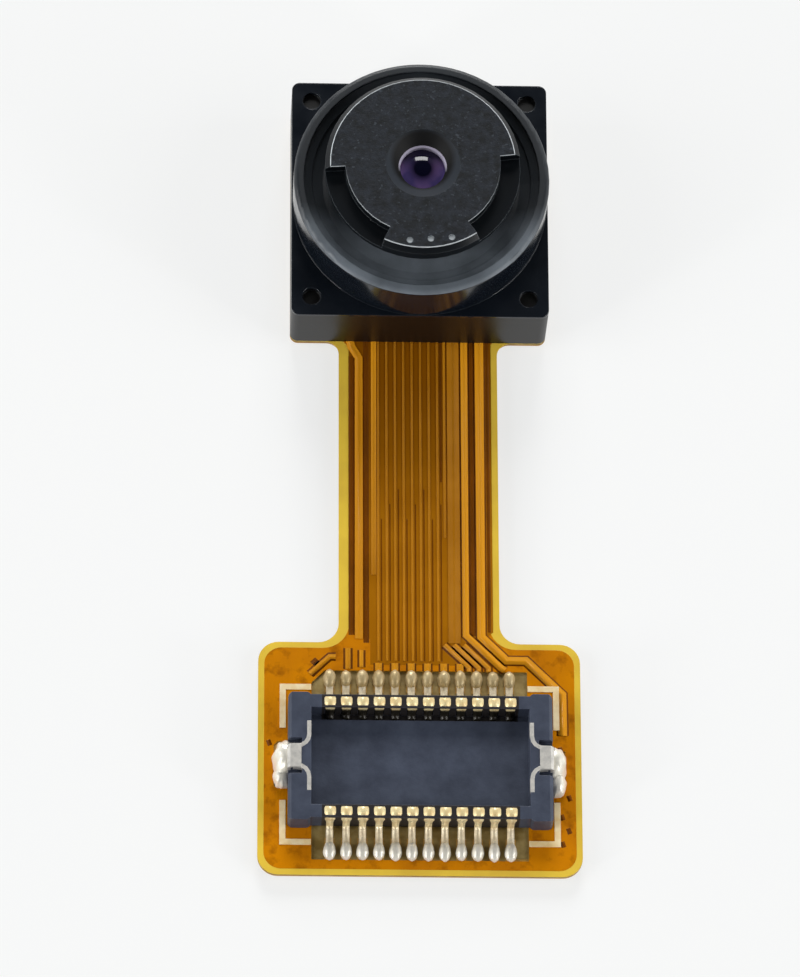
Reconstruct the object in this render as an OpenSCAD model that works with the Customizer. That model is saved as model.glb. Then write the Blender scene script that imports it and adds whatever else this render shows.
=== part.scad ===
// Fixed-focus camera module on a flexible printed circuit.
//
// X runs across the circuit, Y along it towards the lens and Z up towards what the lens sees.
// The origin is where the optical axis meets the underside of the stiffener behind the sensor.
// All sizes are in millimetres.

/* [Layout] */
// Distance from the optical axis to the middle of the connector
lens_to_connector = 14.5; // [12:0.5:24]

/* [Flexible circuit] */
// Width of the ribbon between its two ends
ribbon_w = 3.9; // [3.6:0.1:4.8]
// Film left beyond each end of the connector housing
end_margin = 0.73; // [0.7:0.05:1.5]
// Film left beyond the connector housing on the free side
free_margin = 1.2; // [1.1:0.05:2]
// Film left beyond the connector housing on the ribbon side
ribbon_margin = 1.55; // [1.45:0.05:2.5]
// Corner radius of the film under the connector
film_corner_r = 0.5; // [0.2:0.05:0.8]
// Radius where the ribbon widens to the connector end
ribbon_fillet_r = 0.5; // [0.35:0.05:0.6]
// Radius where the ribbon leaves the lens holder
root_fillet_r = 0.35; // [0.2:0.05:0.6]
// Thickness of the base film
base_film_t = 0.03; // [0.02:0.005:0.05]
// Thickness of each cover film above the copper
cover_film_t = 0.03; // [0.02:0.005:0.05]
// Thickness of each copper layer
copper_t = 0.02; // [0.01:0.005:0.035]
// How far the rear copper stays back from the edge of the film
ground_setback = 0.2; // [0.1:0.05:0.3]

/* [Copper tracks] */
// Width of a signal track
signal_track_w = 0.09; // [0.06:0.01:0.11]
// Width of a supply track
supply_track_w = 0.2; // [0.12:0.01:0.2]
// Width of the ground track
ground_track_w = 0.3; // [0.2:0.02:0.36]
// Clear film from the outermost tracks to the edges of the ribbon
track_margin = 0.37; // [0.3:0.01:0.45]
// Length of a solder pad under a contact
solder_pad_l = 0.65; // [0.6:0.05:0.9]
// Width of a solder pad under a contact
solder_pad_w = 0.24; // [0.2:0.01:0.28]

/* [Stiffeners] */
// Thickness of both stiffeners
stiffener_t = 0.2; // [0.1:0.05:0.4]
// How far a stiffener stays back from the edge of what it backs
stiffener_setback = 0.1; // [0.05:0.05:0.4]

/* [Lens holder] */
// Side of the square base
holder_w = 6.4; // [6.4:0.1:8]
// Height of the square base
holder_h = 1.6; // [1.5:0.05:2.2]
// Corner radius of the square base
holder_corner_r = 0.2; // [0.1:0.05:0.5]
// Outer radius of the round collar
collar_r = 3.18; // [3.08:0.01:3.19]
// Height of the collar above the base
collar_h = 1.25; // [1:0.05:2]
// Radius of the rounded outer edge of the collar
collar_edge_r = 0.12; // [0.05:0.01:0.18]
// Width of the flat ring on top of the collar
collar_land_w = 0.25; // [0.2:0.01:0.35]
// Depth of the funnel inside the collar
funnel_depth = 0.35; // [0.3:0.05:0.6]
// Width of the upper ring of the funnel, above its small step
funnel_ring_w = 0.21; // [0.15:0.01:0.25]
// Diameter of the dimples in the corners of the base
dimple_d = 0.45; // [0.3:0.05:0.6]
// Distance from the sides of the base to the middle of a dimple
dimple_inset = 0.5; // [0.4:0.05:0.65]
// Depth of a dimple
dimple_depth = 0.12; // [0.05:0.01:0.3]
// Wall round the hollow over the sensor
holder_wall = 0.45; // [0.35:0.05:0.6]
// Height of the hollow over the sensor
hollow_h = 0.62; // [0.55:0.01:0.7]

/* [Lens barrel] */
// Radius of the threaded body
thread_r = 2; // [1.9:0.01:2.1]
// Radial play between the barrel and the holder
thread_play = 0.02; // [0.01:0.01:0.05]
// Radius of the barrel's head
head_r = 2.42; // [2.3:0.01:2.6]
// Thickness of the head
head_t = 0.58; // [0.5:0.02:0.8]
// How far the head stands above the collar
head_proud = 0.85; // [0.7:0.05:1.2]
// Radius left between the notches of the head
notch_r = 1.92; // [1.7:0.02:2]
// Depth of the notches
notch_depth = 0.3; // [0.15:0.05:0.4]
// Angle covered by each notch
notch_angle = 62; // [40:2:70]
// Angle covered by the tab between the two notches
tab_angle = 60; // [40:2:70]
// How far the barrel was turned to set the focus
focus_turn = 5; // [-15:1:15]
// Bevel round the edge of the head
head_bevel = 0.15; // [0.05:0.01:0.2]
// Radius of the conical recess in front of the lens
recess_r = 0.93; // [0.8:0.01:1.1]
// Radius of the front opening
opening_r = 0.56; // [0.45:0.01:0.65]
// Thickness of the wall in front of the lens
front_wall_t = 0.42; // [0.36:0.02:0.5]
// Diameter of the three marker dots on the tab
dot_d = 0.16; // [0.1:0.02:0.2]
// Distance between the marker dots
dot_pitch = 0.52; // [0.4:0.02:0.6]
// Gap between the back of the barrel and the ledge below it
focus_gap = 0.15; // [0.05:0.01:0.3]

/* [Lens elements] */
// Radius of the front lens
front_lens_r = 1.1; // [0.95:0.01:1.2]
// Radius of the middle lens
middle_lens_r = 1.3; // [1.25:0.01:1.42]
// Radius of the rear lens
rear_lens_r = 1.55; // [1.48:0.01:1.7]
// Thickness of each lens at its rim
lens_rim_t = 0.42; // [0.36:0.01:0.45]
// Thickness of each spacer
spacer_t = 0.08; // [0.05:0.01:0.1]
// Thickness of the retainer ring
retainer_t = 0.25; // [0.2:0.01:0.3]
// Radial play of the lenses in the barrel
lens_play = 0.01; // [0.005:0.005:0.02]

/* [Filter and sensor] */
// Side of the square filter glass
filter_w = 4; // [3.8:0.05:4.4]
// Thickness of the filter glass
filter_t = 0.21; // [0.15:0.01:0.25]
// Side of the square opening above the filter
window_w = 2.75; // [2.4:0.05:2.75]
// Thickness of the ledge between the filter and the barrel
ledge_t = 0.2; // [0.15:0.01:0.25]
// Side of the square sensor die
die_w = 3.4; // [3:0.05:3.6]
// Thickness of the sensor die
die_t = 0.2; // [0.15:0.01:0.22]
// Thickness of a bond wire
wire_t = 0.03; // [0.02:0.005:0.04]
// Length of a chip capacitor
capacitor_l = 0.6; // [0.4:0.05:1]
// Width of a chip capacitor
capacitor_w = 0.3; // [0.2:0.05:0.5]
// Height of a chip capacitor
capacitor_h = 0.3; // [0.15:0.05:0.45]

/* [Connector] */
// Contacts in each of the two rows
contacts_per_row = 12; // [10:1:14]
// Distance between neighbouring contacts
contact_pitch = 0.4; // [0.4:0.02:0.5]
// Housing length beyond the middle of the outermost contacts
housing_end = 1.02; // [0.98:0.01:1.4]
// Width of the housing over its end blocks
housing_w = 3.3; // [3.2:0.05:4]
// Height of the housing
housing_h = 0.62; // [0.55:0.01:0.9]
// How far the side walls stand back from the end blocks
wall_setback = 0.06; // [0.04:0.01:0.12]
// Thickness of the side walls between the contacts
side_wall = 0.33; // [0.3:0.01:0.4]
// Thickness of the end walls
end_wall = 0.56; // [0.5:0.01:0.6]
// Thickness of the floor of the tub
tub_floor = 0.16; // [0.12:0.01:0.2]
// Thickness left below the grooves along the side walls
groove_floor = 0.08; // [0.06:0.01:0.1]
// Width of the grooves along the side walls
groove_w = 0.16; // [0.12:0.01:0.2]
// Bevel along the outer top edge of the end blocks
end_bevel = 0.08; // [0.04:0.01:0.12]
// Radius of the outer corners of the end blocks
housing_corner_r = 0.12; // [0.05:0.01:0.2]

/* [Contacts] */
// Thickness of the contact strip
contact_t = 0.06; // [0.05:0.005:0.08]
// Width of the leg and the solder tail
leg_w = 0.14; // [0.1:0.01:0.18]
// Width of the folded top
fold_w = 0.24; // [0.2:0.01:0.28]
// Length of the solder tail beyond the leg
tail_l = 0.76; // [0.6:0.02:0.8]
// Length of the inner foot in the groove of the tub
inner_foot_l = 0.12; // [0.08:0.01:0.14]
// How far a contact stands proud of the housing
contact_proud = 0.02; // [0.01:0.005:0.03]

/* [Hold-downs] */
// Thickness of the hold-down plate
plate_t = 0.08; // [0.06:0.01:0.1]
// Width of the plate across the end wall
plate_w = 0.6; // [0.44:0.02:0.7]
// Thickness of the two arms along the inner edge of the end wall
arm_t = 0.1; // [0.06:0.01:0.11]
// Distance between the tips of the two arms
arm_span = 1.8; // [1.5:0.05:2]
// Width of the pockets in the end wall beside the plate
pocket_w = 0.16; // [0.1:0.01:0.2]
// Depth of the pockets beside the plate
pocket_depth = 0.25; // [0.15:0.01:0.35]
// Length of the soldered foot
foot_l = 0.24; // [0.15:0.01:0.28]
// Width of the solder on the foot
foot_solder_w = 1.16; // [0.9:0.02:1.24]
// Height of the solder on the foot
foot_solder_h = 0.36; // [0.25:0.01:0.42]

/* [Corner marks] */
// Arm of a mark along the connector
mark_arm_x = 0.77; // [0.5:0.01:1]
// Arm of a mark across the connector
mark_arm_y = 1.15; // [0.8:0.01:1.3]
// Width of a mark's line
mark_line = 0.15; // [0.1:0.01:0.2]
// Gap between the marks and the connector's end blocks
mark_gap_x = 0.05; // [0.03:0.01:0.15]
// Gap between the marks and the connector's sides
mark_gap_y = 0.29; // [0.2:0.01:0.35]
// Thickness of the printed ink
ink_t = 0.015; // [0.01:0.005:0.02]

/* [Hidden] */
$fn = 64;

// Overlap used where one shape cuts right through another.
over = 0.1;

// Heights of the layers, from the underside of the stiffeners upwards.
rear_cover_z = stiffener_t;
ground_z = rear_cover_z + cover_film_t;
base_film_z = ground_z + copper_t;
copper_z = base_film_z + base_film_t;
pad_z = copper_z + copper_t;
film_top_z = pad_z + cover_film_t;

// The film's outline.
connector_y = -lens_to_connector;
housing_l = (contacts_per_row - 1) * contact_pitch + 2 * housing_end;
end_w = housing_l + 2 * end_margin;
end_back_y = connector_y - housing_w / 2 - free_margin;
end_front_y = connector_y + housing_w / 2 + ribbon_margin;

// The connector, measured from its middle.
contact_x = [for (i = [0 : contacts_per_row - 1]) (i - (contacts_per_row - 1) / 2) * contact_pitch];
wall_y = housing_w / 2 - wall_setback;
well_y = wall_y - side_wall;
well_x = housing_l / 2 - end_wall;
housing_top_z = film_top_z + housing_h;
leg_y = wall_y + contact_proud - contact_t / 2;
tail_end_y = leg_y + tail_l;
solder_toe = 0.1;
cover_lap = 0.08;
pad_window_y = tail_end_y + solder_toe + 0.02;
pad_window_x = contact_x[contacts_per_row - 1] + solder_pad_w / 2 + 0.32;
pad_outer_y = pad_window_y + cover_lap;
pad_inner_y = pad_outer_y - solder_pad_l;
foot_window_x = housing_l / 2 + foot_l + 0.1;
foot_window_in = 0.2;
foot_pad_x = foot_window_x + cover_lap;
foot_pad_w = 1.2;

// The tracks: a supply, the signals, a ground and two supplies, evenly spaced across the ribbon.
track_widths = concat(
    [supply_track_w],
    [for (i = [2 : contacts_per_row - 2]) signal_track_w],
    [ground_track_w, supply_track_w, supply_track_w]
);
last_track = contacts_per_row;
track_gap = (ribbon_w - 2 * track_margin - sum(track_widths, last_track)) / last_track;

// The sensor end, inside the holder.
hollow_w = holder_w - 2 * holder_wall;
finger_y = die_w / 2 + 0.4;
finger_l = 0.3;
die_top_z = pad_z + die_t;
capacitor_x = (die_w / 2 + 0.1 + hollow_w / 2) / 2;

// The lens holder and what it carries.
holder_top_z = film_top_z + holder_h;
collar_top_z = holder_top_z + collar_h;
filter_top_z = film_top_z + hollow_h + filter_t + 0.09;
filter_play = 0.03;
ledge_z = filter_top_z + ledge_t;
funnel_z = collar_top_z - funnel_depth;
lip_depth = 0.08;
funnel_step = 0.05;
funnel_ring_rise = 0.1;
thread_hole_r = thread_r + thread_play;
shelf_w = 0.43;

// The lens barrel and the stack inside it, from the front backwards.
face_z = collar_top_z + head_proud;
head_z = face_z - head_t;
barrel_rear_z = ledge_z + focus_gap;
shoulder_z = face_z - front_wall_t;
front_lens_z = shoulder_z - lens_rim_t;
front_spacer_z = front_lens_z - spacer_t;
middle_lens_z = front_spacer_z - lens_rim_t;
rear_spacer_z = middle_lens_z - spacer_t;
rear_lens_z = rear_spacer_z - lens_rim_t;
retainer_z = rear_lens_z - retainer_t;

// Radius of the light that each lens surface lets through.
front_clear_r = 0.52;
middle_clear_r = 0.8;
rear_clear_r = 1.1;

// Sum of the first entries of a list, up to and including the one with the given index.
function sum(list, last) = last < 0 ? 0 : list[last] + sum(list, last - 1);

// Middle of a track in the ribbon.
function track_x(i) =
    -ribbon_w / 2 + track_margin + sum(track_widths, i - 1) + i * track_gap + track_widths[i] / 2;

// Unit vector along a step, and the same vector turned to its left.
function unit(v) = v / norm(v);
function left(v) = [-v[1], v[0]];

// Offset of a path's point to its left, mitred where the path bends.
function miter(path, i) =
    let (
        last = len(path) - 1,
        before = unit(path[max(i, 1)] - path[max(i, 1) - 1]),
        after = unit(path[min(i, last - 1) + 1] - path[min(i, last - 1)]),
        normal = unit(left(before) + left(after))
    ) normal / (normal * left(before));

// Outline of a strip of even width that follows a path.
function strip(path, width) = concat(
    [for (i = [0 : len(path) - 1]) path[i] + miter(path, i) * width / 2],
    [for (i = [len(path) - 1 : -1 : 0]) path[i] - miter(path, i) * width / 2]
);

// Rectangle with its middle at the origin and round corners.
module rounded_rect(size, r) {
    square([size[0] - 2 * r, size[1]], center = true);
    square([size[0], size[1] - 2 * r], center = true);
    for (x = [-1, 1], y = [-1, 1])
        translate([x * (size[0] / 2 - r), y * (size[1] / 2 - r)])
            circle(r);
}

// Round fill of an inner corner, reaching up and to the right from the origin.
module corner_fill(r) {
    difference() {
        translate([-over, -over]) square(r + over);
        translate([r, r]) circle(r);
    }
}

// Copies a shape to both sides of the YZ plane.
module both_sides() {
    children();
    mirror([1, 0]) children();
}

// The film as seen from above, or the same outline drawn in by an even amount.
module film_outline(inset = 0) {
    end_l = end_front_y - end_back_y;
    square_w = holder_w - 2 * inset;
    strip_w = ribbon_w - 2 * inset;
    rounded_rect([square_w, square_w], max(holder_corner_r - inset, 0.05));
    translate([0, (end_front_y + end_back_y) / 2])
        rounded_rect([end_w - 2 * inset, end_l - 2 * inset], film_corner_r - inset / 2);
    translate([-strip_w / 2, end_front_y - 1])
        square([strip_w, -end_front_y + 1 - holder_w / 4]);
    both_sides() {
        translate([strip_w / 2, end_front_y - inset])
            corner_fill(ribbon_fillet_r + inset);
        translate([strip_w / 2, -square_w / 2])
            mirror([0, 1]) corner_fill(root_fillet_r + inset);
    }
}

// Windows of the front cover film: round the contacts' tails, over the hold-downs' feet and
// over the sensor.
module cover_windows() {
    translate([0, connector_y]) {
        square([2 * pad_window_x, 2 * pad_window_y], center = true);
        both_sides()
            translate([housing_l / 2 - foot_window_in, -foot_pad_w / 2])
                square([foot_window_x - housing_l / 2 + foot_window_in, foot_pad_w]);
    }
    square(hollow_w, center = true);
}

// One track from its bond finger to its solder pad: straight down the ribbon, across at 45
// degrees and into the pad.
module fanned_track(i) {
    x = track_x(i);
    shift = contact_x[i] - x;
    fan_y = connector_y + pad_outer_y + 0.05;
    polygon(strip([
        [x, -finger_y],
        [x, fan_y + max(abs(shift), 0.01)],
        [contact_x[i], fan_y],
        [contact_x[i], connector_y + pad_outer_y - 0.1]
    ], track_widths[i]));
}

// The last track passes the connector on its right and reaches the outer row from the side.
module outer_track() {
    x = track_x(last_track);
    last_contact_x = contact_x[contacts_per_row - 1];
    run_y = connector_y + pad_outer_y + 0.3;
    fan_sum = last_contact_x + connector_y + pad_outer_y + 0.41;
    step_x = fan_sum - run_y + 0.4;
    side_x = (foot_pad_x + end_w / 2) / 2;
    return_y = connector_y - pad_outer_y + 0.1;
    polygon(strip([
        [x, -finger_y],
        [x, fan_sum - x],
        [fan_sum - run_y, run_y],
        [step_x, run_y]
    ], supply_track_w));
    polygon(strip([
        [step_x - 0.1, run_y],
        [step_x, run_y],
        [side_x, run_y - (side_x - step_x)],
        [side_x, return_y + 0.4],
        [side_x - 0.4, return_y],
        [last_contact_x, return_y]
    ], signal_track_w));
}

module copper_outline() {
    for (i = [0 : contacts_per_row - 1]) {
        fanned_track(i);
        for (side = [-1, 1])
            translate([contact_x[i], connector_y + side * (pad_outer_y + pad_inner_y) / 2])
                square([solder_pad_w, solder_pad_l], center = true);
    }
    outer_track();
    both_sides()
        translate([housing_l / 2 - foot_window_in / 2, connector_y - foot_pad_w / 2])
            square([foot_pad_x - housing_l / 2 + foot_window_in / 2, foot_pad_w]);
    for (i = [0 : last_track], side = [-1, 1])
        translate([track_x(i), side * (finger_y + finger_l / 2)])
            square([min(track_widths[i], 0.12), finger_l], center = true);
    square(die_w + 0.2, center = true);
    both_sides()
        for (side = [-1, 1])
            translate([capacitor_x, side * (capacitor_l / 2 - 0.08)])
                square([capacitor_w + 0.06, 0.24], center = true);
}

module sensor_stiffener() {
    side = holder_w - 2 * stiffener_setback;
    color("dimgray")
        linear_extrude(stiffener_t)
            rounded_rect([side, side], holder_corner_r);
}

module connector_stiffener() {
    color("dimgray")
        translate([0, (end_front_y + end_back_y) / 2])
            linear_extrude(stiffener_t)
                rounded_rect([
                    end_w - 2 * stiffener_setback,
                    end_front_y - end_back_y - 2 * stiffener_setback
                ], film_corner_r - stiffener_setback / 2);
}

module rear_coverlay() {
    color("goldenrod")
        difference() {
            translate([0, 0, rear_cover_z])
                linear_extrude(cover_film_t + copper_t)
                    film_outline();
            translate([0, 0, ground_z])
                linear_extrude(copper_t + over)
                    film_outline(ground_setback);
        }
}

module ground_copper() {
    color("peru")
        translate([0, 0, ground_z])
            linear_extrude(copper_t)
                film_outline(ground_setback);
}

module base_film() {
    color("goldenrod")
        translate([0, 0, base_film_z])
            linear_extrude(base_film_t)
                film_outline();
}

module front_copper() {
    color("darkgoldenrod")
        translate([0, 0, copper_z])
            linear_extrude(copper_t)
                copper_outline();
}

module front_coverlay() {
    color("goldenrod")
        difference() {
            translate([0, 0, copper_z])
                linear_extrude(copper_t + cover_film_t)
                    difference() {
                        film_outline();
                        cover_windows();
                    }
            front_copper();
        }
}

// Copies a shape into all four corners round the origin.
module four_corners() {
    for (x = [0, 1], y = [0, 1])
        mirror([x, 0, 0]) mirror([0, y, 0]) children();
}

// Four L marks round the connector, printed on the cover film.
module corner_marks() {
    x = housing_l / 2 + mark_gap_x + mark_line;
    y = housing_w / 2 + mark_gap_y + mark_line;
    color("cornsilk")
        translate([0, connector_y, film_top_z])
            four_corners()
                linear_extrude(ink_t) {
                    translate([x - mark_arm_x, y - mark_line])
                        square([mark_arm_x, mark_line]);
                    translate([x - mark_line, y - mark_arm_y])
                        square([mark_line, mark_arm_y]);
                }
}

// Extrudes a section drawn in Y and Z evenly to both sides of the YZ plane.
module across_x(width) {
    rotate([90, 0, 90]) linear_extrude(width, center = true) children();
}

// Extrudes a section drawn in X and Z evenly to both sides of the XZ plane.
module across_y(width) {
    rotate([90, 0, 0]) linear_extrude(width, center = true) children();
}

// Points of a quarter turn that starts at the given angle.
function bend(middle, r, start) =
    [for (a = [start : 30 : start + 90]) middle + r * [cos(a), sin(a)]];

// Formed contact of the inner row, in its own slot of the side wall: solder tail, leg, the wider
// top that is folded over the wall, and an inner leg that ends in a short foot on the tub's floor.
module contact() {
    bend_r = 0.12;
    top_z = housing_top_z + contact_proud - contact_t / 2;
    shoulder_z = top_z - bend_r - 0.03;
    tail_z = pad_z + contact_t / 2;
    inside_y = well_y - contact_proud + contact_t / 2;
    floor_z = film_top_z + groove_floor + contact_t / 2;
    across_x(leg_w)
        polygon(strip([
            [tail_end_y, tail_z],
            [leg_y + 0.08, tail_z],
            [leg_y, tail_z + 0.08],
            [leg_y, shoulder_z]
        ], contact_t));
    across_x(fold_w)
        polygon(strip(concat(
            [[leg_y, shoulder_z]],
            bend([leg_y - bend_r, top_z - bend_r], bend_r, 0),
            bend([inside_y + bend_r, top_z - bend_r], bend_r, 90),
            [
                [inside_y, floor_z + 0.06],
                [inside_y - 0.06, floor_z],
                [inside_y - inner_foot_l, floor_z]
            ]
        ), contact_t));
}

module contact_row() {
    for (x = contact_x)
        translate([x, 0, 0]) contact();
}

module inner_contacts() {
    color("gold")
        translate([0, connector_y, 0]) contact_row();
}

module outer_contacts() {
    color("gold")
        translate([0, connector_y, 0]) mirror([0, 1, 0]) contact_row();
}

// Solder over one tail of the inner row: a mound that runs out to a thin toe.
module tail_solder() {
    mound_h = contact_t + 0.06;
    heel_y = tail_end_y - 0.4;
    toe_y = tail_end_y + solder_toe;
    foot_w = solder_pad_w - 0.02;
    difference() {
        intersection() {
            across_x(solder_pad_w)
                translate([0, pad_z])
                    polygon([
                        [heel_y, 0], [heel_y + 0.04, mound_h * 0.7], [heel_y + 0.14, mound_h],
                        [tail_end_y - 0.06, mound_h], [tail_end_y + 0.02, mound_h * 0.7], [toe_y, 0]
                    ]);
            translate([0, (heel_y + toe_y) / 2, 0])
                across_y(toe_y - heel_y + over)
                    translate([0, pad_z])
                        polygon([
                            [-foot_w / 2, 0], [-foot_w * 0.4, mound_h * 0.7], [-foot_w * 0.25, mound_h],
                            [foot_w * 0.25, mound_h], [foot_w * 0.4, mound_h * 0.7], [foot_w / 2, 0]
                        ]);
        }
        contact();
    }
}

module contact_solder() {
    color("gainsboro")
        translate([0, connector_y, 0])
            for (x = contact_x, side = [0, 1])
                mirror([0, side, 0])
                    translate([x, 0, 0]) tail_solder();
}

// Formed plate over the right end wall, with a soldered foot outside. Two curved arms run from
// it along the wall's inner edge.
module hold_down() {
    outer_x = housing_l / 2 + contact_proud - plate_t / 2;
    plate_in_x = well_x + 0.24;
    arm_x = well_x + arm_t / 2;
    top_z = housing_top_z + contact_proud - plate_t / 2;
    foot_z = pad_z + plate_t / 2;
    arm_h = 0.2;
    curve_r = plate_in_x + arm_t - arm_x;
    curve_y = plate_w / 2 - arm_t / 2 + curve_r;
    across_y(plate_w)
        polygon(strip([
            [outer_x + foot_l, foot_z],
            [outer_x + 0.08, foot_z],
            [outer_x, foot_z + 0.08],
            [outer_x, top_z - 0.05],
            [outer_x - 0.05, top_z],
            [plate_in_x, top_z]
        ], plate_t));
    for (side = [0, 1])
        mirror([0, side, 0])
            translate([0, 0, top_z + plate_t / 2 - arm_h])
                linear_extrude(arm_h - contact_proud)
                    polygon(strip(concat(
                        [[plate_in_x + 2 * arm_t, plate_w / 2 - arm_t / 2]],
                        [for (a = [0 : 22.5 : 90])
                            [plate_in_x + arm_t - curve_r * sin(a), curve_y - curve_r * cos(a)]],
                        [[arm_x, arm_span / 2]]
                    ), arm_t));
}

module left_hold_down() {
    color("silver")
        translate([0, connector_y, 0]) mirror([1, 0, 0]) hold_down();
}

module right_hold_down() {
    color("silver")
        translate([0, connector_y, 0]) hold_down();
}

// Solder on the feet of the hold-downs: a hollow slope that wets the foot and climbs the housing.
module hold_down_solder() {
    reach = foot_window_x - 0.02 - housing_l / 2;
    h = foot_solder_h;
    half_w = foot_solder_w / 2;
    top_w = plate_w / 2 - 0.04;
    toe_h = 0.04;
    color("gainsboro")
        translate([0, connector_y, pad_z])
            for (side = [0, 1])
                mirror([side, 0, 0])
                    difference() {
                        translate([housing_l / 2, 0, 0])
                            intersection() {
                                across_y(foot_solder_w)
                                    polygon([
                                        [0, 0], [reach, 0], [reach, toe_h], [0.62 * reach, 0.28 * h],
                                        [0.3 * reach, 0.6 * h], [0.12 * reach, h], [0, h]
                                    ]);
                                across_x(2 * reach)
                                    polygon([
                                        [-half_w, 0], [half_w, 0], [half_w, toe_h],
                                        [(half_w + top_w) / 2, 0.4 * h], [top_w, h],
                                        [-top_w, h], [-(half_w + top_w) / 2, 0.4 * h],
                                        [-half_w, toe_h]
                                    ]);
                                linear_extrude(h)
                                    polygon([
                                        [0, -half_w], [0.55 * reach, -half_w],
                                        [reach, -0.6 * half_w], [reach, 0.6 * half_w],
                                        [0.55 * reach, half_w], [0, half_w]
                                    ]);
                            }
                        translate([0, 0, -pad_z])
                            hold_down();
                    }
}

// End block on the right of the tub, with round corners and a bevel on its outer top edge.
module end_block() {
    outer_x = housing_l / 2;
    inner_x = outer_x - end_wall;
    intersection() {
        linear_extrude(housing_h)
            translate([(outer_x + inner_x) / 2, 0])
                rounded_rect([end_wall, housing_w], housing_corner_r);
        across_y(housing_w + over)
            polygon([
                [inner_x, 0], [outer_x, 0], [outer_x, housing_h - end_bevel],
                [outer_x - end_bevel, housing_h], [inner_x, housing_h]
            ]);
    }
}

// Inside of the tub: the well, a groove along each side wall for the contacts' feet, and the
// pockets beside the plates of the hold-downs.
module tub_inside() {
    translate([-well_x, -well_y, tub_floor])
        cube([2 * well_x, 2 * well_y, housing_h]);
    for (side = [0, 1])
        mirror([0, side, 0])
            translate([-well_x, well_y - groove_w, groove_floor])
                cube([2 * well_x, groove_w, housing_h]);
    pocket_x = well_x + 0.22;
    both_sides()
        for (side = [0, 1])
            mirror([0, side, 0])
                translate([pocket_x, plate_w / 2, housing_h - pocket_depth])
                    cube([housing_l / 2 - pocket_x + over, pocket_w, housing_h]);
}

// Moulded tub: two side walls with a slot for each contact, two wider end blocks and a floor.
module connector_housing() {
    color("darkslategray")
        difference() {
            translate([0, connector_y, film_top_z])
                difference() {
                    union() {
                        linear_extrude(housing_h)
                            square([2 * well_x + 0.1, 2 * wall_y], center = true);
                        both_sides() end_block();
                    }
                    tub_inside();
                }
            inner_contacts();
            outer_contacts();
            left_hold_down();
            right_hold_down();
        }
}

// The collar as a solid ring before it is bored: straight outside with a rounded top edge.
module collar_blank() {
    rotate_extrude() {
        square([collar_r - collar_edge_r, collar_h]);
        square([collar_r, collar_h - collar_edge_r]);
        translate([collar_r - collar_edge_r, collar_h - collar_edge_r])
            circle(collar_edge_r);
    }
}

// Square base with a round collar. The barrel screws into the collar from above, the filter
// sits in a pocket below the ledge, and the hollow underneath covers the sensor.
module lens_holder() {
    mouth_r = collar_r - collar_land_w;
    ring_r = mouth_r - funnel_ring_w;
    ring_z = collar_top_z - lip_depth - funnel_ring_rise;
    hollow_top_z = film_top_z + hollow_h;
    pocket_w = filter_w + 2 * filter_play;
    color([0.1, 0.1, 0.12])
        difference() {
            union() {
                translate([0, 0, film_top_z])
                    linear_extrude(holder_h)
                        rounded_rect([holder_w, holder_w], holder_corner_r);
                translate([0, 0, holder_top_z])
                    collar_blank();
            }
            rotate_extrude()
                polygon([
                    [0, ledge_z],
                    [thread_hole_r, ledge_z],
                    [thread_hole_r, funnel_z],
                    [thread_hole_r + shelf_w, funnel_z],
                    [ring_r, ring_z - funnel_step],
                    [ring_r, ring_z],
                    [mouth_r, collar_top_z - lip_depth],
                    [mouth_r, collar_top_z + over],
                    [0, collar_top_z + over]
                ]);
            translate([-window_w / 2, -window_w / 2, film_top_z])
                cube([window_w, window_w, ledge_z - film_top_z + over]);
            translate([-pocket_w / 2, -pocket_w / 2, film_top_z])
                cube([pocket_w, pocket_w, filter_top_z - film_top_z]);
            translate([-hollow_w / 2, -hollow_w / 2, film_top_z - over])
                cube([hollow_w, hollow_w, hollow_top_z - film_top_z + over]);
            four_corners()
                translate([
                    holder_w / 2 - dimple_inset,
                    holder_w / 2 - dimple_inset,
                    holder_top_z - dimple_depth
                ])
                    cylinder(h = dimple_depth + over, d = dimple_d, $fn = 32);
        }
}

// One notch in the head, from the given angle anticlockwise.
module head_notch(start) {
    rotate([0, 0, start])
        rotate_extrude(angle = notch_angle)
            translate([notch_r, face_z - notch_depth])
                square([head_r, notch_depth + over]);
}

// Threaded barrel with a wide head. Two notches for the focusing key leave a tab between them.
module lens_barrel() {
    recess_depth = 0.3;
    bore_play = lens_play;
    color([0.16, 0.16, 0.18])
        rotate([0, 0, focus_turn])
            difference() {
                union() {
                    translate([0, 0, barrel_rear_z])
                        cylinder(h = head_z - barrel_rear_z, r = thread_r);
                    rotate_extrude()
                        polygon([
                            [0, head_z],
                            [head_r - head_bevel, head_z],
                            [head_r, head_z + head_bevel],
                            [head_r, face_z - head_bevel],
                            [head_r - head_bevel, face_z],
                            [0, face_z]
                        ]);
                }
                rotate_extrude()
                    polygon([
                        [0, barrel_rear_z - over],
                        [rear_lens_r + bore_play, barrel_rear_z - over],
                        [rear_lens_r + bore_play, middle_lens_z],
                        [middle_lens_r + bore_play, middle_lens_z],
                        [middle_lens_r + bore_play, front_lens_z],
                        [front_lens_r + bore_play, front_lens_z],
                        [front_lens_r + bore_play, shoulder_z],
                        [opening_r, shoulder_z],
                        [opening_r, face_z - recess_depth],
                        [recess_r, face_z],
                        [recess_r, face_z + over],
                        [0, face_z + over]
                    ]);
                head_notch(-90 + tab_angle / 2);
                head_notch(-90 - tab_angle / 2 - notch_angle);
                for (i = [-1 : 1])
                    translate([i * dot_pitch, -(notch_r + head_r) / 2 + 0.1, face_z - 0.04])
                        cylinder(h = over, d = dot_d, $fn = 16);
            }
}

// Ring with its underside at the given height.
module ring(z, r, hole_r, t) {
    translate([0, 0, z])
        difference() {
            cylinder(h = t, r = r);
            translate([0, 0, -over])
                cylinder(h = t + 2 * over, r = hole_r);
        }
}

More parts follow.
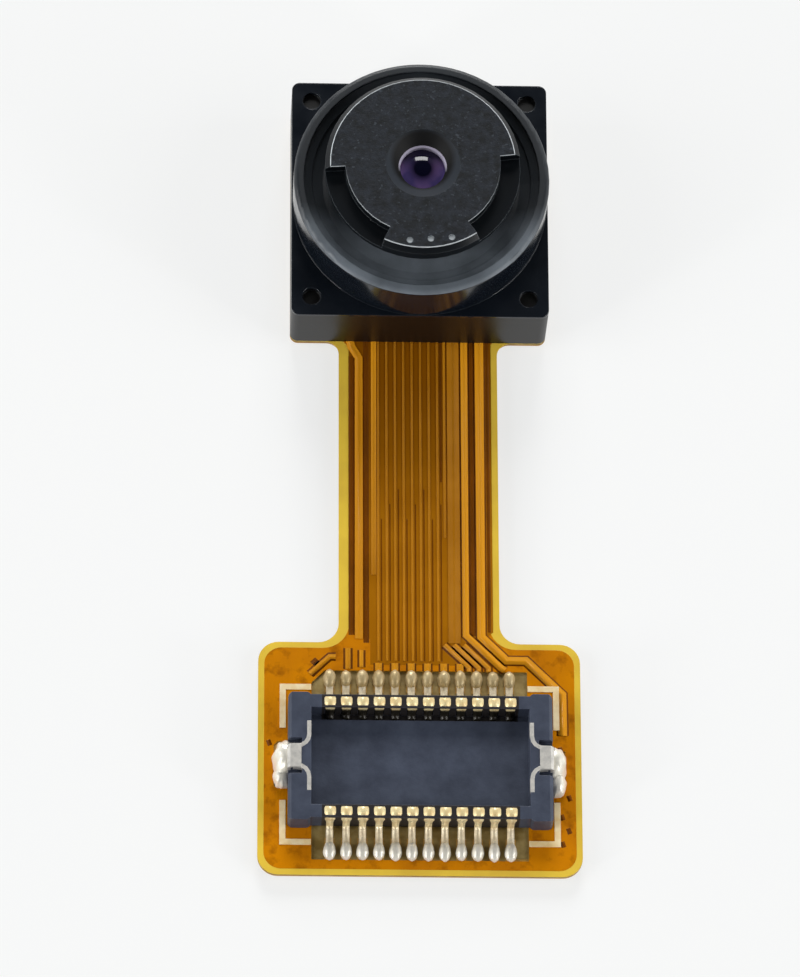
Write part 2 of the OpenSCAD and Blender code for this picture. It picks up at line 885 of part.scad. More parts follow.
// Height of a dome of the given radius over a circle.
function dome_h(ball_r, circle_r) = ball_r - sqrt(ball_r ^ 2 - circle_r ^ 2);

// Dome that stands on the plane at the given height, rooted a little below it. Its side is 1
// upwards and -1 downwards.
module dome(z, ball_r, circle_r, side) {
    h = dome_h(ball_r, circle_r);
    root = 0.05;
    intersection() {
        translate([0, 0, z + side * (h - ball_r)])
            sphere(ball_r);
        translate([0, 0, side > 0 ? z - root : z - 2 * h])
            cylinder(h = 2 * h + root, r = circle_r + over);
    }
}

module front_lens() {
    color("slateblue", 0.6)
        difference() {
            union() {
                translate([0, 0, front_lens_z])
                    cylinder(h = lens_rim_t, r = front_lens_r);
                dome(shoulder_z, 1.2, front_clear_r, 1);
            }
            dome(front_lens_z, 3, middle_clear_r, 1);
        }
}

module middle_lens() {
    color("lightblue", 0.6)
        difference() {
            union() {
                translate([0, 0, middle_lens_z])
                    cylinder(h = lens_rim_t, r = middle_lens_r);
                dome(middle_lens_z, 2.5, middle_clear_r, -1);
            }
            dome(middle_lens_z + lens_rim_t, 2.5, 0.7, -1);
        }
}

module rear_lens() {
    color("lightblue", 0.6)
        difference() {
            union() {
                translate([0, 0, rear_lens_z])
                    cylinder(h = lens_rim_t, r = rear_lens_r);
                dome(rear_lens_z, 4, rear_clear_r, -1);
            }
            dome(rear_lens_z + lens_rim_t, 2, 0.95, -1);
        }
}

module front_spacer() {
    color("black")
        ring(front_spacer_z, middle_lens_r, middle_clear_r, spacer_t);
}

module rear_spacer() {
    color("black")
        ring(rear_spacer_z, rear_lens_r, middle_clear_r + 0.1, spacer_t);
}

module barrel_retainer() {
    color([0.2, 0.2, 0.2])
        ring(retainer_z, rear_lens_r, rear_clear_r + 0.05, retainer_t);
}

module ir_filter() {
    color("lightcyan", 0.6)
        translate([-filter_w / 2, -filter_w / 2, filter_top_z - filter_t])
            cube([filter_w, filter_w, filter_t]);
}

module image_sensor() {
    color("darkslateblue")
        translate([-die_w / 2, -die_w / 2, pad_z])
            cube([die_w, die_w, die_t]);
}

// Gold wires from the edge of the die down to the bond fingers, one over each track.
module bond_wires() {
    start_y = die_w / 2 - 0.1;
    end_y = finger_y + 0.12;
    color("gold")
        for (i = [0 : last_track], side = [0, 1])
            mirror([0, side, 0])
                translate([track_x(i), 0, 0])
                    across_x(wire_t)
                        polygon(strip([
                            [start_y, die_top_z],
                            [start_y, die_top_z + 0.08],
                            [start_y + 0.08, die_top_z + 0.12],
                            [end_y - 0.08, pad_z + 0.14],
                            [end_y, pad_z + 0.07],
                            [end_y, pad_z]
                        ], wire_t));
}

module chip_capacitors() {
    color("burlywood")
        for (side = [-1, 1])
            translate([side * capacitor_x - capacitor_w / 2, -capacitor_l / 2, pad_z])
                cube([capacitor_w, capacitor_l, capacitor_h]);
}

sensor_stiffener();
connector_stiffener();
rear_coverlay();
ground_copper();
base_film();
front_copper();
front_coverlay();
corner_marks();
connector_housing();
inner_contacts();
outer_contacts();
left_hold_down();
right_hold_down();
contact_solder();
hold_down_solder();
lens_holder();
lens_barrel();
front_lens();
middle_lens();
rear_lens();
front_spacer();
rear_spacer();
barrel_retainer();
ir_filter();
image_sensor();
bond_wires();
chip_capacitors();
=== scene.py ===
# %% [markdown]
# # A phone camera module on a studio table
#
# The object is a small fixed-focus camera: a black lens holder on a flexible circuit that ends in
# a board-to-board connector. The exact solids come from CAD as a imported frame. This lesson gives
# them their finishes and builds the pieces that need a softer or finer form: the ridges that the
# tracks press into the film, the formed contacts and the solder.

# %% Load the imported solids
import math

import bmesh
import bpy
from mathutils import Matrix, Vector, noise


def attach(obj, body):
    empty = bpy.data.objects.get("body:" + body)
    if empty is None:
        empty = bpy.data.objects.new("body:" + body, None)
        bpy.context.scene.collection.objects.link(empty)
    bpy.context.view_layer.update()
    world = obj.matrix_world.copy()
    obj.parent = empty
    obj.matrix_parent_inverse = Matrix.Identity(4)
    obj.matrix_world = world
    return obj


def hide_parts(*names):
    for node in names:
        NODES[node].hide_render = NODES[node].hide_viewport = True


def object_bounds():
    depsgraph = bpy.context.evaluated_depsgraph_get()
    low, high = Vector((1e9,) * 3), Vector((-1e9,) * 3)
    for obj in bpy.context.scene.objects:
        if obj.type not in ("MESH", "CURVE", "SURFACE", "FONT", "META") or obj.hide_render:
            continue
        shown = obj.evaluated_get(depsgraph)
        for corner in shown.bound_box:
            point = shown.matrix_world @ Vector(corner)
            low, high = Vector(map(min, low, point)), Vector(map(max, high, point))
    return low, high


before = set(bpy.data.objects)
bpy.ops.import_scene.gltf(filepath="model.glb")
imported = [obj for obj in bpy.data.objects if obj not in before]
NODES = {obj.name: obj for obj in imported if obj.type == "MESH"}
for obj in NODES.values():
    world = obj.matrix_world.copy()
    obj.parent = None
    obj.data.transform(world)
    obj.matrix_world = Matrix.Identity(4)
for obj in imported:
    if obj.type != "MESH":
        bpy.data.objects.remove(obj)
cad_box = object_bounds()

MM = 0.001
print(len(NODES), "nodes, whole box in mm:", [[round(v / MM, 2) for v in p] for p in cad_box])

# %% [markdown]
# ## Camera
#
# A long lens looks down from about 67 degrees, a little turned about its own axis. The camera's
# axes are built from an azimuth, an elevation and a roll, so that each can be read and changed.

# %% Aim the camera
AIM = Vector((-0.457, -7.18, 0.33)) * MM
CAMERA_DISTANCE = 165 * MM
AZIMUTH, ELEVATION, ROLL = (math.radians(a) for a in (-5.35, 66.9, 5.6))


def aimed(aim, distance, azimuth, elevation, roll):
    """World matrix of something that looks at aim, with its local Z axis pointing backwards."""
    back = Vector((
        math.sin(azimuth) * math.cos(elevation),
        -math.cos(azimuth) * math.cos(elevation),
        math.sin(elevation),
    ))
    level = Vector((math.cos(azimuth), math.sin(azimuth), 0))
    upright = back.cross(level)
    right = math.cos(roll) * level + math.sin(roll) * upright
    up = -math.sin(roll) * level + math.cos(roll) * upright
    turn = Matrix((right, up, back)).transposed().to_4x4()
    return Matrix.Translation(aim + distance * back) @ turn


camera_data = bpy.data.cameras.new("camera")
camera_data.lens = 245.2
camera_data.sensor_width = 36
camera_data.clip_start = 10 * MM
camera_data.clip_end = 2
camera = bpy.data.objects.new("camera", camera_data)
bpy.context.scene.collection.objects.link(camera)
camera.matrix_world = aimed(AIM, CAMERA_DISTANCE, AZIMUTH, ELEVATION, ROLL)
bpy.context.scene.camera = camera
print("camera at mm:", [round(v / MM, 1) for v in camera.matrix_world.translation])

# %% [markdown]
# ## Node helpers
#
# Every finish below is a small tree of shader nodes. Short functions keep them readable: one adds
# a node with its settings and links, one does arithmetic and one mixes two colours. Others start a
# material, make noise, rescale a value and turn a height into relief.

# %% Helpers for shader trees
def node(tree, kind, links=None, **settings):
    """Add a node, set its properties and fill or link its input sockets."""
    new = tree.nodes.new(kind)
    for name, value in settings.items():
        setattr(new, name, value)
    for socket, value in (links or {}).items():
        if isinstance(value, bpy.types.NodeSocket):
            tree.links.new(value, new.inputs[socket])
        else:
            new.inputs[socket].default_value = value
    return new


def calc(tree, operation, *values, clamp=False):
    """One arithmetic node; each value is a number or a socket."""
    links = dict(enumerate(values))
    return node(tree, "ShaderNodeMath", links, operation=operation, use_clamp=clamp).outputs[0]


def blend(tree, amount, first, second):
    """Mix two colours; amount 0 gives the first."""
    new = node(tree, "ShaderNodeMix", data_type="RGBA")
    for index, value in ((0, amount), (6, first), (7, second)):
        if isinstance(value, bpy.types.NodeSocket):
            tree.links.new(value, new.inputs[index])
        else:
            new.inputs[index].default_value = value
    return new.outputs[2]


def colour(red, green, blue):
    """A linear colour from the three numbers, 0 to 255, that a screen shows."""
    def linear(value):
        value /= 255
        return value / 12.92 if value <= 0.04045 else ((value + 0.055) / 1.055) ** 2.4
    return (linear(red), linear(green), linear(blue), 1)


def finish(name, base, roughness, **sockets):
    """Start a material. Returns it with its tree, its main shader and the object coordinates."""
    material = bpy.data.materials.new(name)
    material.use_nodes = True
    tree = material.node_tree
    main = tree.nodes["Principled BSDF"]
    main.inputs["Base Color"].default_value = base
    main.inputs["Roughness"].default_value = roughness
    for socket, value in sockets.items():
        main.inputs[socket.replace("_", " ")].default_value = value
    place = node(tree, "ShaderNodeTexCoord").outputs["Object"]
    return material, tree, main, place


def grain(tree, place, per_mm, detail=2, roughness=0.5, stretch=(1, 1, 1)):
    """Noise with a given number of grains in a millimetre, 0 to 1."""
    stretched = node(tree, "ShaderNodeVectorMath", {0: place, 1: stretch}, operation="MULTIPLY")
    return node(tree, "ShaderNodeTexNoise", {
        "Vector": stretched.outputs[0], "Scale": per_mm / MM, "Detail": detail,
        "Roughness": roughness}).outputs["Fac"]


def spread(tree, value, low, high, out_low=0.0, out_high=1.0):
    """Rescale a value from one range to another, clamped."""
    return node(tree, "ShaderNodeMapRange", {
        "Value": value, "From Min": low, "From Max": high,
        "To Min": out_low, "To Max": out_high}).outputs[0]


def axes(tree, vector):
    """The X, Y and Z of a vector."""
    return tuple(node(tree, "ShaderNodeSeparateXYZ", {0: vector}).outputs)


def relief(tree, main, height, depth_mm, edge_mm=0.0):
    """Bump of the given depth on the main shader, with edges softened in the shading."""
    bump = node(tree, "ShaderNodeBump", {"Height": height, "Distance": depth_mm * MM})
    if edge_mm:
        soft = node(tree, "ShaderNodeBevel", {"Radius": edge_mm * MM}, samples=4)
        tree.links.new(soft.outputs[0], bump.inputs["Normal"])
    tree.links.new(bump.outputs[0], main.inputs["Normal"])


print("helpers ready")

# %% [markdown]
# ## Table and light
#
# The module lies on a white sheet under soft light. Three wide lamps stand at the left, at the
# right and behind, and two small ones at the front corners put glints on the metal. A pale sky
# fills the shadows. It is bright near the horizon and behind the module, and almost dark overhead,
# where flat black plastic would mirror it, so the holder reads as black. The sheet shows almost
# white to the camera but keeps the object's shadow, because its glow is only mixed in for rays that
# reach it from the camera, from a mirror or through glass.

# %% Floor, lamps and sky
floor_material, tree, main, place = finish("white_sheet", (0.86, 0.86, 0.86, 1), 0.9)
path = node(tree, "ShaderNodeLightPath")
seen = calc(tree, "ADD", path.outputs["Is Camera Ray"], path.outputs["Is Glossy Ray"])
seen = calc(tree, "ADD", seen, path.outputs["Is Transmission Ray"], clamp=True)
glow = node(tree, "ShaderNodeEmission", {"Color": (0.98, 0.99, 0.985, 1), "Strength": 1.0})
mixed = node(tree, "ShaderNodeMixShader", {
    0: calc(tree, "MULTIPLY", seen, 0.7), 1: main.outputs[0], 2: glow.outputs[0]})
tree.links.new(mixed.outputs[0], tree.nodes["Material Output"].inputs["Surface"])

FLOOR_GAP = 0.002
floor_mesh = bpy.data.meshes.new("white_sheet")
half = 600 * MM
floor_mesh.from_pydata(
    [(-half, -half, 0), (half, -half, 0), (half, half, 0), (-half, half, 0)], [], [(0, 1, 2, 3)])
floor_mesh.materials.append(floor_material)
floor = bpy.data.objects.new("white_sheet", floor_mesh)
floor.location.z = cad_box[0][2] - FLOOR_GAP * MM
bpy.context.scene.collection.objects.link(floor)


def lamp(name, azimuth, elevation, distance, size, watts):
    """A square soft lamp that looks at the module."""
    data = bpy.data.lights.new(name, "AREA")
    data.shape = "SQUARE"
    data.size = size * MM
    data.energy = watts
    lamp_object = bpy.data.objects.new(name, data)
    lamp_object.matrix_world = aimed(
        AIM, distance * MM, math.radians(azimuth), math.radians(elevation), 0)
    bpy.context.scene.collection.objects.link(lamp_object)


lamp("right_lamp", 80, 30, 400, 240, 0.66)
lamp("left_lamp", -80, 30, 400, 240, 0.66)
lamp("back_lamp", 180, 30, 420, 170, 1.15)
lamp("right_glint", 58, 14, 400, 50, 0.42)
lamp("left_glint", -58, 14, 400, 50, 0.46)

sky = bpy.data.worlds.new("studio")
bpy.context.scene.world = sky
sky.use_nodes = True
tree = sky.node_tree
backdrop = tree.nodes["Background"]
backdrop.inputs["Color"].default_value = (0.95, 0.98, 1.0, 1)
_, way_back, way_up = axes(tree, node(tree, "ShaderNodeTexCoord").outputs["Generated"])
low_sky = spread(tree, way_up, 0.1, 0.7, 1.0, 0.06)
from_back = spread(tree, way_back, -0.5, 0.5, 0.3, 1.0)
tree.links.new(calc(tree, "MULTIPLY", low_sky, from_back), backdrop.inputs["Strength"])
bpy.context.scene.view_settings.view_transform = "Standard"

# %% [markdown]
# ## Flexible circuit
#
# The circuit is a sandwich: amber film, copper, film, copper, film. From outside only its amber
# covers show, and what lies below tints them: bright yellow at the bare border, orange over the
# copper pour, brown between the tracks. The tracks also press fine ridges into the cover. Flat
# sheets cut from outlines give the zones, and a swept ridge follows each track.

# %% Sizes of the circuit in millimetres
CONNECTOR_Y = -14.5
FILM_TOP = 0.33
COVER_T = 0.03
END_HALF, END_BACK, END_FRONT = 3.95, -17.35, -11.3
RIBBON_HALF, HOLDER_HALF = 1.98, 3.2
# bottom and top of each layer of the cover, so that each one shows above the one before
BORDER_LEVELS = FILM_TOP - COVER_T, FILM_TOP - 0.006
POUR_LEVELS = FILM_TOP - 0.007, FILM_TOP - 0.002
RIBBON_LEVELS = FILM_TOP - 0.003, FILM_TOP - 0.0005
GAP_FOOT, GAP_HEIGHT = FILM_TOP - 0.006, 0.007
RIDGE_FOOT, RIDGE_HEIGHT = FILM_TOP - 0.004, 0.016


def arc(centre, radius, start, end, steps=8):
    """Points of an arc, angles in degrees."""
    turns = [math.radians(start + (end - start) * i / steps) for i in range(steps + 1)]
    return [(centre[0] + radius * math.cos(a), centre[1] + radius * math.sin(a)) for a in turns]


def film_outline(inset, ribbon_inset=None):
    """Outline of the film, moved inwards, anticlockwise from the lower right corner.

    The corners under the holder are rounder on the film itself than on the zones inside it.
    """
    end_x, back, front = END_HALF - inset, END_BACK + inset, END_FRONT - inset
    side = RIBBON_HALF - (inset if ribbon_inset is None else ribbon_inset)
    square = HOLDER_HALF - inset
    corner, fillet, root = 0.5 - inset / 2, 0.5 + inset, 0.35 + inset
    rim = 0.05 if inset else 0.2
    right = arc((end_x - corner, back + corner), corner, -90, 0)
    right += arc((end_x - corner, front - corner), corner, 0, 90)
    right += arc((side + fillet, front + fillet), fillet, 270, 180)
    right += arc((side + root, -square - root), root, 180, 90)
    right += arc((square - rim, -square + rim), rim, -90, 0, 3)
    right += arc((square - rim, square - rim), rim, 0, 90, 3)
    return right + [(-x, y) for x, y in reversed(right)]


def box_loop(x0, x1, y0, y1, cut=0.0):
    """A rectangle's outline; cut takes off its upper left corner."""
    return [(x0, y0), (x1, y0), (x1, y1), (x0 + cut, y1), (x0, y1 - cut)]


WINDOWS = [
    box_loop(-2.64, 2.64, CONNECTOR_Y - 2.46, CONNECTOR_Y + 2.46, cut=0.32),
    box_loop(3.02, 3.56, CONNECTOR_Y - 0.6, CONNECTOR_Y + 0.4, cut=0.1),
    box_loop(-3.56, -3.02, CONNECTOR_Y - 0.6, CONNECTOR_Y + 0.6, cut=0.1),
    box_loop(-2.75, 2.75, -2.75, 2.75),
]


def plain_mesh(source, name):
    """Bake an object with its modifiers into a new mesh object, and remove the source."""
    graph = bpy.context.evaluated_depsgraph_get()
    mesh = bpy.data.meshes.new_from_object(source.evaluated_get(graph))
    mesh.name = name
    bpy.data.objects.remove(source)
    made = bpy.data.objects.new(name, mesh)
    bpy.context.scene.collection.objects.link(made)
    return made


def cut_sheet(name, loops, low, high, material):
    """A flat sheet between two heights; inner loops become holes. All sizes in millimetres."""
    curve = bpy.data.curves.new(name, "CURVE")
    curve.dimensions = "2D"
    curve.fill_mode = "BOTH"
    curve.extrude = (high - low) / 2 * MM
    for loop in loops:
        spline = curve.splines.new("POLY")
        spline.points.add(len(loop) - 1)
        spline.use_cyclic_u = True
        for point, (x, y) in zip(spline.points, loop):
            point.co = (x * MM, y * MM, 0, 1)
    curve.materials.append(material)
    sheet = bpy.data.objects.new(name, curve)
    bpy.context.scene.collection.objects.link(sheet)
    flat = plain_mesh(sheet, name)
    flat.data.transform(Matrix.Translation((0, 0, (low + high) / 2 * MM)))
    return flat


def joined(name, parts):
    """Join mesh objects into one, keeping their material slots."""
    with bpy.context.temp_override(
            active_object=parts[0], selected_objects=parts, selected_editable_objects=parts):
        bpy.ops.object.join()
    parts[0].name = parts[0].data.name = name
    return parts[0]


print("outline of the film:", len(film_outline(0)), "points")

# %% [markdown]
# ### Finishes of the film
#
# One recipe with other colours: amber plastic, satin and slightly uneven. Large soft noise varies
# the tone as the glue below does, and a fine stretched noise gives the rolled grain.

# %% Film finishes
def film_finish(name, light, dark, roughness=0.3, shine_from=None, spots=None, shade_at_holder=None):
    """Amber cover film. shine_from names an attribute that brightens single tracks, and spots is
    a third colour that shows through in small blotches. The last argument is the colour of a
    painted shade that darkens the film towards the holder."""
    material, tree, main, place = finish(name, light, roughness, Specular_IOR_Level=0.12)
    cloud = spread(tree, grain(tree, place, 0.9, 3), 0.35, 0.68)
    tint = blend(tree, cloud, light, dark)
    if spots:
        blotch = spread(tree, grain(tree, place, 2.6, 3, 0.6), 0.52, 0.7)
        tint = blend(tree, calc(tree, "MULTIPLY", blotch, 0.75), tint, spots)
    # Painted shade: the film darkens towards the holder.
    if shade_at_holder:
        along = axes(tree, place)[1]
        tint = blend(tree, spread(tree, along, -8 * MM, -4.5 * MM), tint, shade_at_holder)
    if shine_from:
        level = node(tree, "ShaderNodeAttribute", attribute_name=shine_from).outputs["Fac"]
        tint = blend(tree, level, tint, colour(226, 152, 28))
    tree.links.new(tint, main.inputs["Base Color"])
    relief(tree, main, grain(tree, place, 9, 3, stretch=(1, 0.35, 1)), 0.008, 0.012)
    return material


film_border = film_finish("film_bare_border", colour(236, 200, 70), colour(220, 182, 66))
film_pour = film_finish("film_over_pour", colour(210, 130, 2), colour(190, 114, 6),
                        spots=colour(146, 82, 4))
# The field between the tracks gets the painted shade near the holder.
film_ribbon = film_finish("film_between_tracks", colour(168, 106, 6), colour(154, 94, 2),
                          shade_at_holder=colour(134, 78, 1))
film_gap = film_finish("film_over_gap", colour(124, 66, 0), colour(104, 56, 0))
film_track = film_finish("film_over_track", colour(178, 116, 24), colour(164, 104, 12),
                         0.26, shine_from="shine")
print("film finishes:", sum(m.name.startswith("film_") for m in bpy.data.materials))

# %% [markdown]
# ### Tracks
#
# Each track is a line of points with a width. A Geometry Nodes tree sweeps a trapezium along it:
# the sweep scales its section with the width, so the tree then sets every height itself, and
# narrow and wide tracks stand equally proud. The same tree, set lower, makes the dark gaps.

# %% Routes of the tracks, x from the middle and y from the connector's middle
RIBBON_TOP = 11.4
routes, gaps = [], []


def track(width, shine, *points, gap=0.0):
    """Note down one track in millimetres.

    Shine is its brightness at the first and the last point, and gap is the width of the dark
    line at each side.
    """
    places = [(x, y + CONNECTOR_Y) for x, y in points]
    last = len(places) - 1
    routes.append((width, [shine[0] + (shine[1] - shine[0]) * i / last
                           for i in range(last + 1)], places))
    if gap:
        dark(width + 2 * gap, *points)


def dark(width, *points):
    """Note down one dark line, where no copper lies below the cover."""
    gaps.append((width, [0.0] * len(points), [(x, y + CONNECTOR_Y) for x, y in points]))


track(0.20, (1.0, 0.55), (-1.72, RIBBON_TOP), (-1.66, 11.15), (-1.48, 10.85), (-1.48, 3.3))
dark(0.15, (-1.66, 10.9), (-1.66, 3.4))
dark(0.14, (-1.30, RIBBON_TOP), (-1.30, 3.2))
track(0.13, (1.0, 0.1), (-1.11, RIBBON_TOP), (-1.11, 7.6), (-1.11, 5.0))
for index in range(8):
    x = -1.0 + 0.2108 * index
    track(0.055, (0.0, 0.3), (x, RIBBON_TOP), (x, 8.5), (x, 2.72))
    dark(0.03, (x + 0.08, 6.5 + 0.4 * (index % 3)), (x + 0.08, 2.72))
dark(0.05, (0.56, RIBBON_TOP), (0.56, 7.5))
track(0.06, (0.4, 0.1), (0.65, RIBBON_TOP), (0.65, 6.0))
track(0.30, (0.1, 0.0), (0.87, RIBBON_TOP), (0.87, 3.2))
dark(0.14, (1.33, RIBBON_TOP), (1.33, 3.4))
dark(0.08, (1.73, RIBBON_TOP), (1.73, 3.5))
track(0.17, (1.0, 0.7), (1.15, RIBBON_TOP), (1.15, 3.42), (2.0, 2.57), (2.1, 2.5), gap=0.04)
track(0.22, (1.0, 0.75), (1.53, RIBBON_TOP), (1.53, 3.38), (2.14, 2.76), (2.62, 2.76),
      (3.5, 1.88), (3.5, 0.8), gap=0.04)
for index in range(3):
    shift = 0.24 * index
    track(0.12, (0.5, 0.6), (0.62 + shift, 3.16), (1.22 + shift, 2.56), (1.22 + shift, 2.46),
          gap=0.05)
for index in range(6):
    x = -1.0 + 0.4 * index
    track(0.17, (0.9, 0.8), (x, 2.66), (x, 2.46), gap=0.04)
track(0.13, (0.5, 0.5), (-2.68, 2.36), (-2.2, 2.82), (-2.05, 2.82), gap=0.05)
track(0.13, (0.5, 0.5), (-1.75, 3.05), (-1.75, 2.5), gap=0.05)
track(0.10, (0.8, 0.8), (-1.42, 3.0), (-1.42, 2.55), gap=0.05)
dark(0.16, (-2.62, 2.62), (-2.5, 2.74))
for x, y in ((3.42, 0.5), (3.62, -0.75), (3.44, -1.25), (3.6, -1.6), (3.45, -1.95), (-3.7, 0.62)):
    dark(0.11, (x, y), (x + 0.05, y - 0.14))
print(len(routes), "tracks")


# %% A tree that sweeps ridges
def start_tree(name, inputs):
    """New Geometry Nodes tree with a geometry input, the given inputs and a geometry output."""
    tree = bpy.data.node_groups.new(name, "GeometryNodeTree")
    face = tree.interface
    face.new_socket("Geometry", in_out="INPUT", socket_type="NodeSocketGeometry")
    for label, kind in inputs:
        face.new_socket(label, in_out="INPUT", socket_type="NodeSocket" + kind)
    face.new_socket("Geometry", in_out="OUTPUT", socket_type="NodeSocketGeometry")
    return tree, tree.nodes.new("NodeGroupInput"), tree.nodes.new("NodeGroupOutput")


def end_tree(tree, geometry, material, output):
    """Realize Instances, Set Material and the output."""
    real = node(tree, "GeometryNodeRealizeInstances", {"Geometry": geometry})
    painted = node(tree, "GeometryNodeSetMaterial", {
        "Geometry": real.outputs[0], "Material": material})
    tree.links.new(painted.outputs[0], output.inputs[0])


def grow(source, tree, name, **values):
    """Run a tree on an object and bake the result; values fill the tree's inputs by label."""
    modifier = source.modifiers.new(tree.name, "NODES")
    modifier.node_group = tree
    for item in tree.interface.items_tree:
        label = item.name.replace(" ", "_")
        if item.in_out == "INPUT" and label in values:
            modifier[item.identifier] = values[label]
    return plain_mesh(source, name)


ridge_tree, given, output = start_tree("ridge", [
    ("Level", "Float"), ("Height", "Float"), ("Material", "Material")])
half_width = node(ridge_tree, "GeometryNodeInputNamedAttribute", {"Name": "half_width"})
curve = node(ridge_tree, "GeometryNodeMeshToCurve", {"Mesh": given.outputs["Geometry"]})
curve = node(ridge_tree, "GeometryNodeSetCurveNormal", {"Curve": curve.outputs[0]}, mode="Z_UP")
section = node(ridge_tree, "GeometryNodeCurvePrimitiveQuadrilateral", {
    "Height": 1.0, "Bottom Width": 2.0, "Top Width": 1.7, "Offset": 0.0}, mode="TRAPEZOID")
swept = node(ridge_tree, "GeometryNodeCurveToMesh", {
    "Curve": curve.outputs[0], "Profile Curve": section.outputs[0],
    "Scale": half_width.outputs["Attribute"], "Fill Caps": True})
x, y, z = axes(ridge_tree, node(ridge_tree, "GeometryNodeInputPosition").outputs[0])
is_top = calc(ridge_tree, "GREATER_THAN", z, 0.0)
rise = calc(ridge_tree, "MULTIPLY", is_top, given.outputs["Height"])
level = calc(ridge_tree, "ADD", rise, given.outputs["Level"])
raised = node(ridge_tree, "ShaderNodeCombineXYZ", {"X": x, "Y": y, "Z": level})
placed = node(ridge_tree, "GeometryNodeSetPosition", {
    "Geometry": swept.outputs[0], "Position": raised.outputs[0]})
end_tree(ridge_tree, placed.outputs[0], given.outputs["Material"], output)


def path_object(lines):
    """One mesh of open lines that carries the half width and the shine of each point."""
    points, edges, halves, shines = [], [], [], []
    for width, shine, line in lines:
        first = len(points)
        points += [(x * MM, y * MM, 0) for x, y in line]
        edges += [(first + i, first + i + 1) for i in range(len(line) - 1)]
        halves += [width / 2 * MM] * len(line)
        shines += shine
    mesh = bpy.data.meshes.new("paths")
    mesh.from_pydata(points, edges, [])
    mesh.attributes.new("half_width", "FLOAT", "POINT").data.foreach_set("value", halves)
    mesh.attributes.new("shine", "FLOAT", "POINT").data.foreach_set("value", shines)
    paths = bpy.data.objects.new("paths", mesh)
    bpy.context.scene.collection.objects.link(paths)
    return paths


ridges = grow(path_object(routes), ridge_tree, "ridges", Level=RIDGE_FOOT * MM,
              Height=RIDGE_HEIGHT * MM, Material=film_track)
moats = grow(path_object(gaps), ridge_tree, "moats", Level=GAP_FOOT * MM,
             Height=GAP_HEIGHT * MM, Material=film_gap)
print("ridges:", len(ridges.data.polygons), "faces")

# %% Cover film: border, pour, ribbon field, gaps and ridges
border = cut_sheet("cover_film", [film_outline(0)] + WINDOWS, *BORDER_LEVELS, film_border)
pour = cut_sheet("pour", [film_outline(0.15, 0.26)] + WINDOWS, *POUR_LEVELS, film_pour)
field = cut_sheet("field", [[
    (-1.73, CONNECTOR_Y + RIBBON_TOP), (-1.73, CONNECTOR_Y + 3.5), (-1.2, CONNECTOR_Y + 3.3),
    (-1.2, CONNECTOR_Y + 2.62), (1.1, CONNECTOR_Y + 2.62), (1.1, CONNECTOR_Y + 3.0),
    (1.82, CONNECTOR_Y + 3.5), (1.82, CONNECTOR_Y + RIBBON_TOP)]],
    *RIBBON_LEVELS, film_ribbon)
cover_film = joined("cover_film", [border, pour, field, moats, ridges])
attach(cover_film, "root")
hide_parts("front_coverlay")
print("cover film:", len(cover_film.data.polygons), "faces,",
      len(cover_film.data.materials), "finishes")

# %% [markdown]
# ## Finishes of the solids that stay as they are
#
# The square holder is glossy moulded plastic, the barrel's face is spark-eroded to a dull grain,
# and the tub of the connector is a navy engineering plastic. Each finish is a few nodes: an uneven
# tone, an uneven gloss and a fine relief. A Bevel node rounds the sharp edges in the shading, so
# they catch a line of light as moulded edges do. A second Bevel node paints a lighter line along
# them: a painted highlight. The funnel, the lens recess and the wall by the contacts also carry
# painted reflections and painted shade.

# %% Plastic finishes
dressed = []


def dress(material, *names):
    """Give CAD nodes a finish in their own material slots."""
    for name in names:
        for slot in NODES[name].material_slots:
            slot.material = material
    dressed.extend(names)


def length(tree, x, y):
    """Length of a flat vector."""
    flat = node(tree, "ShaderNodeCombineXYZ", {"X": x, "Y": y})
    return node(tree, "ShaderNodeVectorMath", {0: flat.outputs[0]},
                operation="LENGTH").outputs["Value"]


def from_axis(tree, place):
    """Distance from the optical axis, height, and Y towards the back, in metres."""
    x, y, z = axes(tree, place)
    return length(tree, x, y), z, y


def from_connector(tree, y):
    """Distance from the line that runs through the connector's middle, in metres."""
    return calc(tree, "ABSOLUTE", calc(tree, "SUBTRACT", y, CONNECTOR_Y * MM))


def between(tree, value, low, high):
    """1 where the value lies between two sizes in millimetres, else 0."""
    return calc(tree, "MULTIPLY", calc(tree, "GREATER_THAN", value, low * MM),
                calc(tree, "LESS_THAN", value, high * MM))


def painted_edge_highlight(tree, edge_mm):
    """1 along sharp edges, where a painted highlight goes, else 0."""
    rounded = node(tree, "ShaderNodeBevel", {"Radius": edge_mm * MM}, samples=4)
    sharp = node(tree, "ShaderNodeNewGeometry").outputs["True Normal"]
    same = node(tree, "ShaderNodeVectorMath", {0: rounded.outputs[0], 1: sharp},
                operation="DOT_PRODUCT")
    return spread(tree, same.outputs["Value"], 0.97, 0.82)


# heights above the ground and radii from the optical axis
FACE_Z, FACE_EDGE_Z, BLOCK_TOP_Z, FUNNEL_Z = 4.03, 4.03 - 0.012, 1.86, 2.5
FUNNEL_R, RECESS_R, OPENING_R = 3.17, 0.97, 0.6

holder_plastic, tree, main, place = finish(
    "black_moulded_plastic", colour(8, 11, 14), 0.2, Specular_IOR_Level=0.45)
radius, height, depth = from_axis(tree, place)
haze = spread(tree, grain(tree, place, 1.3, 4), 0.3, 0.7)
in_funnel = calc(tree, "MULTIPLY", calc(tree, "LESS_THAN", radius, FUNNEL_R * MM),
                 calc(tree, "GREATER_THAN", height, FUNNEL_Z * MM))
is_side = calc(tree, "LESS_THAN", height, BLOCK_TOP_Z * MM)
tone = blend(tree, haze, colour(14, 19, 26), colour(22, 27, 34))
tone = blend(tree, is_side, tone, colour(8, 7, 6))
